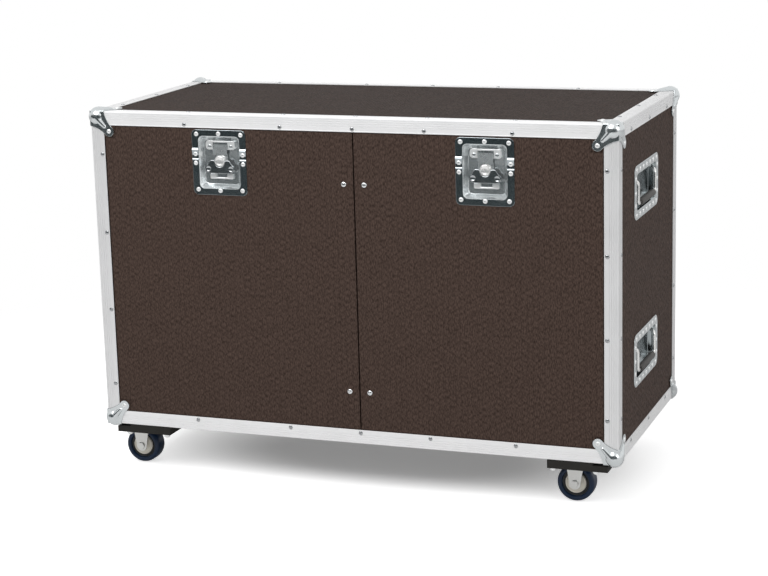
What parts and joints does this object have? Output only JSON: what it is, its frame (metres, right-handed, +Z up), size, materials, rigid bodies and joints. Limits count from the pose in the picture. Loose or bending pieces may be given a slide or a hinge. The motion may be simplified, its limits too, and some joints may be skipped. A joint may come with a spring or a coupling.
{
  "type": "multicore flight case",
  "caption": "Wheeled flight case for a multicore cable, with side-hung front doors, recessed butterfly latches, recessed bail handles, ball corners and swivel casters",
  "frame": {"origin": "centre of the bounding box's base, on the floor under the wheels", "axes": "+X to the right along the width, +Y from the doors to the back, +Z up"},
  "size_m": [1.1734, 0.555, 0.8115],
  "materials": {
    "plywood": "dark brown phenolic film with a fine mesh relief",
    "batten_wood": "bare sawn softwood",
    "black_wood": "black painted board",
    "aluminium": "anodised extrusion",
    "zinc": "bright zinc plate",
    "steel": "bright nickel plate",
    "rubber": "matt moulded rubber",
    "tyre": "dark blue elastic rubber"
  },
  "bodies": {
    "case": {"base_panel": "plywood", "top_panel": "plywood", "back_panel": "plywood", "left_side_panel": "plywood", "right_side_panel": "plywood", "front_bottom_edge": "aluminium", "front_top_edge": "aluminium", "back_bottom_edge": "aluminium", "back_top_edge": "aluminium", "left_bottom_edge": "aluminium", "left_top_edge": "aluminium", "right_bottom_edge": "aluminium", "right_top_edge": "aluminium", "front_left_edge": "aluminium", "front_right_edge": "aluminium", "back_left_edge": "aluminium", "back_right_edge": "aluminium", "front_left_bottom_corner": "zinc", "front_right_bottom_corner": "zinc", "back_left_bottom_corner": "zinc", "back_right_bottom_corner": "zinc", "front_left_top_corner": "zinc", "front_right_top_corner": "zinc", "back_left_top_corner": "zinc", "back_right_top_corner": "zinc", "door_frame": "plywood", "left_caster_board": "black_wood", "right_caster_board": "black_wood", "front_left_swivel_plate": "zinc", "front_right_swivel_plate": "zinc", "back_left_swivel_plate": "zinc", "back_right_swivel_plate": "zinc", "left_upper_handle_dish": "zinc", "left_lower_handle_dish": "zinc", "right_upper_handle_dish": "zinc", "right_lower_handle_dish": "zinc"},
    "left_door": {"left_door": "plywood", "left_door_batten": "batten_wood", "left_latch_dish": "zinc"},
    "left_latch_hook": {"left_latch_hook": "steel"},
    "left_latch_knob": {"left_latch_knob": "steel"},
    "left_latch_wing": {"left_latch_wing": "steel"},
    "right_door": {"right_door": "plywood", "right_door_batten": "batten_wood", "right_latch_dish": "zinc"},
    "right_latch_hook": {"right_latch_hook": "steel"},
    "right_latch_knob": {"right_latch_knob": "steel"},
    "right_latch_wing": {"right_latch_wing": "steel"},
    "left_upper_bail": {"left_upper_handle_bail": "rubber"},
    "left_lower_bail": {"left_lower_handle_bail": "rubber"},
    "right_upper_bail": {"right_upper_handle_bail": "rubber"},
    "right_lower_bail": {"right_lower_handle_bail": "rubber"},
    "front_left_fork": {"front_left_fork": "zinc"},
    "front_left_wheel": {"front_left_wheel": "tyre"},
    "front_right_fork": {"front_right_fork": "zinc"},
    "front_right_wheel": {"front_right_wheel": "tyre"},
    "back_left_fork": {"back_left_fork": "zinc"},
    "back_left_wheel": {"back_left_wheel": "tyre"},
    "back_right_fork": {"back_right_fork": "zinc"},
    "back_right_wheel": {"back_right_wheel": "tyre"}
  },
  "joints": [
    {"name": "left_door_swing", "type": "hinge", "parent": "case", "child": "left_door", "pos_m": [-0.544, -0.2645, 0.4565], "axis": [0, 0, -1], "range_deg": [0, 95]},
    {"name": "left_latch_turn", "type": "hinge", "parent": "left_door", "child": "left_latch_knob", "pos_m": [-0.281, -0.2695, 0.705], "axis": [0, -1, 0], "range_deg": [0, 180]},
    {"name": "left_hook_slide", "type": "slide", "parent": "left_door", "child": "left_latch_hook", "axis": [0, 0, 1], "range_m": [0, 0.008]},
    {"name": "left_wing_fold", "type": "hinge", "parent": "left_latch_knob", "child": "left_latch_wing", "pos_m": [-0.281, -0.2683, 0.7045], "axis": [-1, 0, 0], "range_deg": [0, 75]},
    {"name": "right_door_swing", "type": "hinge", "parent": "case", "child": "right_door", "pos_m": [0.544, -0.2645, 0.4565], "axis": [0, 0, 1], "range_deg": [0, 95]},
    {"name": "right_latch_turn", "type": "hinge", "parent": "right_door", "child": "right_latch_knob", "pos_m": [0.3045, -0.2695, 0.705], "axis": [0, -1, 0], "range_deg": [0, 180]},
    {"name": "right_hook_slide", "type": "slide", "parent": "right_door", "child": "right_latch_hook", "axis": [0, 0, 1], "range_m": [0, 0.008]},
    {"name": "right_wing_fold", "type": "hinge", "parent": "right_latch_knob", "child": "right_latch_wing", "pos_m": [0.3045, -0.2683, 0.7045], "axis": [-1, 0, 0], "range_deg": [0, 75]},
    {"name": "left_upper_bail_swing", "type": "hinge", "parent": "case", "child": "left_upper_bail", "pos_m": [-0.5717, -0.023, 0.665], "axis": [0, 1, 0], "range_deg": [0, 90], "stiffness_Nm_per_rad": 0.2, "springref_deg": -17.19},
    {"name": "left_lower_bail_swing", "type": "hinge", "parent": "case", "child": "left_lower_bail", "pos_m": [-0.5717, -0.023, 0.31], "axis": [0, 1, 0], "range_deg": [0, 90], "stiffness_Nm_per_rad": 0.2, "springref_deg": -17.19},
    {"name": "right_upper_bail_swing", "type": "hinge", "parent": "case", "child": "right_upper_bail", "pos_m": [0.5717, -0.023, 0.665], "axis": [0, -1, 0], "range_deg": [0, 90], "stiffness_Nm_per_rad": 0.2, "springref_deg": -17.19},
    {"name": "right_lower_bail_swing", "type": "hinge", "parent": "case", "child": "right_lower_bail", "pos_m": [0.5717, -0.023, 0.31], "axis": [0, -1, 0], "range_deg": [0, 90], "stiffness_Nm_per_rad": 0.2, "springref_deg": -17.19},
    {"name": "front_left_swivel", "type": "hinge", "parent": "case", "child": "front_left_fork", "pos_m": [-0.502, -0.189, 0.09], "axis": [0, 0, 1], "continuous": true},
    {"name": "front_left_wheel_spin", "type": "hinge", "parent": "front_left_fork", "child": "front_left_wheel", "pos_m": [-0.532, -0.189, 0.04], "axis": [0, 1, 0], "continuous": true},
    {"name": "front_right_swivel", "type": "hinge", "parent": "case", "child": "front_right_fork", "pos_m": [0.502, -0.189, 0.09], "axis": [0, 0, 1], "continuous": true},
    {"name": "front_right_wheel_spin", "type": "hinge", "parent": "front_right_fork", "child": "front_right_wheel", "pos_m": [0.472, -0.189, 0.04], "axis": [0, 1, 0], "continuous": true},
    {"name": "back_left_swivel", "type": "hinge", "parent": "case", "child": "back_left_fork", "pos_m": [-0.502, 0.189, 0.09], "axis": [0, 0, 1], "continuous": true},
    {"name": "back_left_wheel_spin", "type": "hinge", "parent": "back_left_fork", "child": "back_left_wheel", "pos_m": [-0.532, 0.189, 0.04], "axis": [0, 1, 0], "continuous": true},
    {"name": "back_right_swivel", "type": "hinge", "parent": "case", "child": "back_right_fork", "pos_m": [0.502, 0.189, 0.09], "axis": [0, 0, 1], "continuous": true},
    {"name": "back_right_wheel_spin", "type": "hinge", "parent": "back_right_fork", "child": "back_right_wheel", "pos_m": [0.472, 0.189, 0.04], "axis": [0, 1, 0], "continuous": true}
  ],
  "couplings": [
    {"joint": "left_latch_turn", "follows": "left_hook_slide", "rad_per_m": 392.7},
    {"joint": "right_latch_turn", "follows": "right_hook_slide", "rad_per_m": 392.7}
  ]
}
